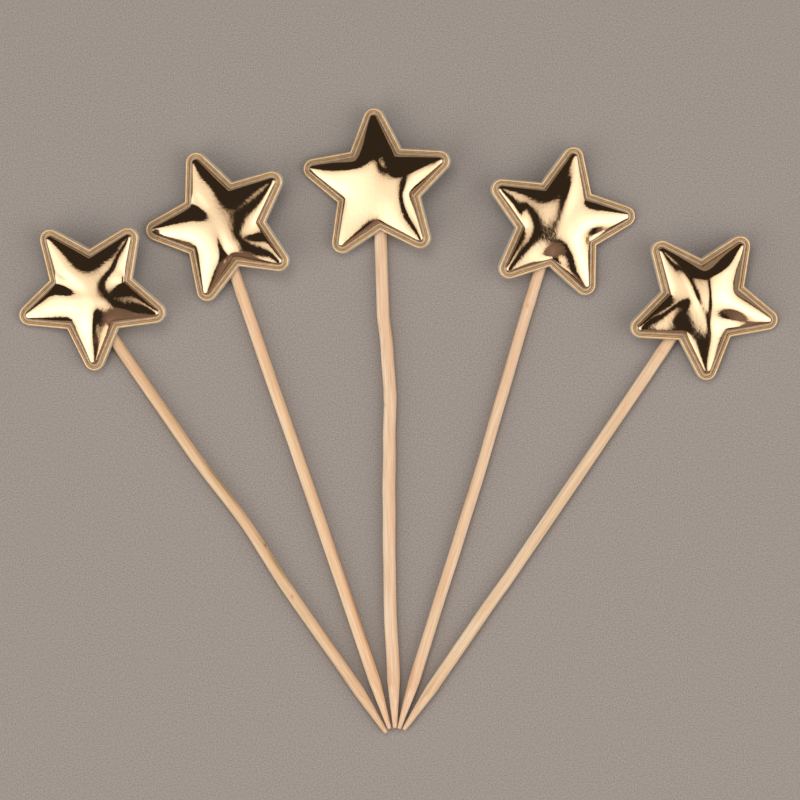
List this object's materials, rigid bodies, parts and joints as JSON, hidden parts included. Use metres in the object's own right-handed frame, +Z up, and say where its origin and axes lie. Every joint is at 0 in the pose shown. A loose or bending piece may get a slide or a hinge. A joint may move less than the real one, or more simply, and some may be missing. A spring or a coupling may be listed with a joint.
{
  "type": "cake topper",
  "caption": "Fan of loose cake toppers, each a puffed mirror-gold foil star on a felt back, glued to a pointed bamboo pick that pushes into a cake.",
  "frame": {"origin": "on the table, under the middle of the fan's box", "axes": "+Z up from the table, +Y from the pick points to the stars, +X to the right of the fan"},
  "size_m": [0.186, 0.1534, 0.0103],
  "materials": {
    "gold_foil": "polished",
    "felt": "matte",
    "foam": "matte",
    "glue": "gloss",
    "bamboo": "satin"
  },
  "bodies": {
    "topper_1": {"backing_1": "felt", "foam_pad_1": "foam", "foil_cover_1": "gold_foil", "glue_bead_1": "glue", "pick_1": "bamboo"},
    "topper_2": {"backing_2": "felt", "foam_pad_2": "foam", "foil_cover_2": "gold_foil", "glue_bead_2": "glue", "pick_2": "bamboo"},
    "topper_3": {"backing_3": "felt", "foam_pad_3": "foam", "foil_cover_3": "gold_foil", "glue_bead_3": "glue", "pick_3": "bamboo"},
    "topper_4": {"backing_4": "felt", "foam_pad_4": "foam", "foil_cover_4": "gold_foil", "glue_bead_4": "glue", "pick_4": "bamboo"},
    "topper_5": {"backing_5": "felt", "foam_pad_5": "foam", "foil_cover_5": "gold_foil", "glue_bead_5": "glue", "pick_5": "bamboo"}
  },
  "joints": [
    {"name": "lift_1", "type": "slide", "parent": "topper_3", "child": "topper_1", "axis": [0, 0, 1], "range_m": [0, 0.06]},
    {"name": "lift_2", "type": "slide", "parent": "topper_3", "child": "topper_2", "axis": [0, 0, 1], "range_m": [0, 0.06]},
    {"name": "lift_4", "type": "slide", "parent": "topper_3", "child": "topper_4", "axis": [0, 0, 1], "range_m": [0, 0.06]},
    {"name": "lift_5", "type": "slide", "parent": "topper_3", "child": "topper_5", "axis": [0, 0, 1], "range_m": [0, 0.06]}
  ]
}
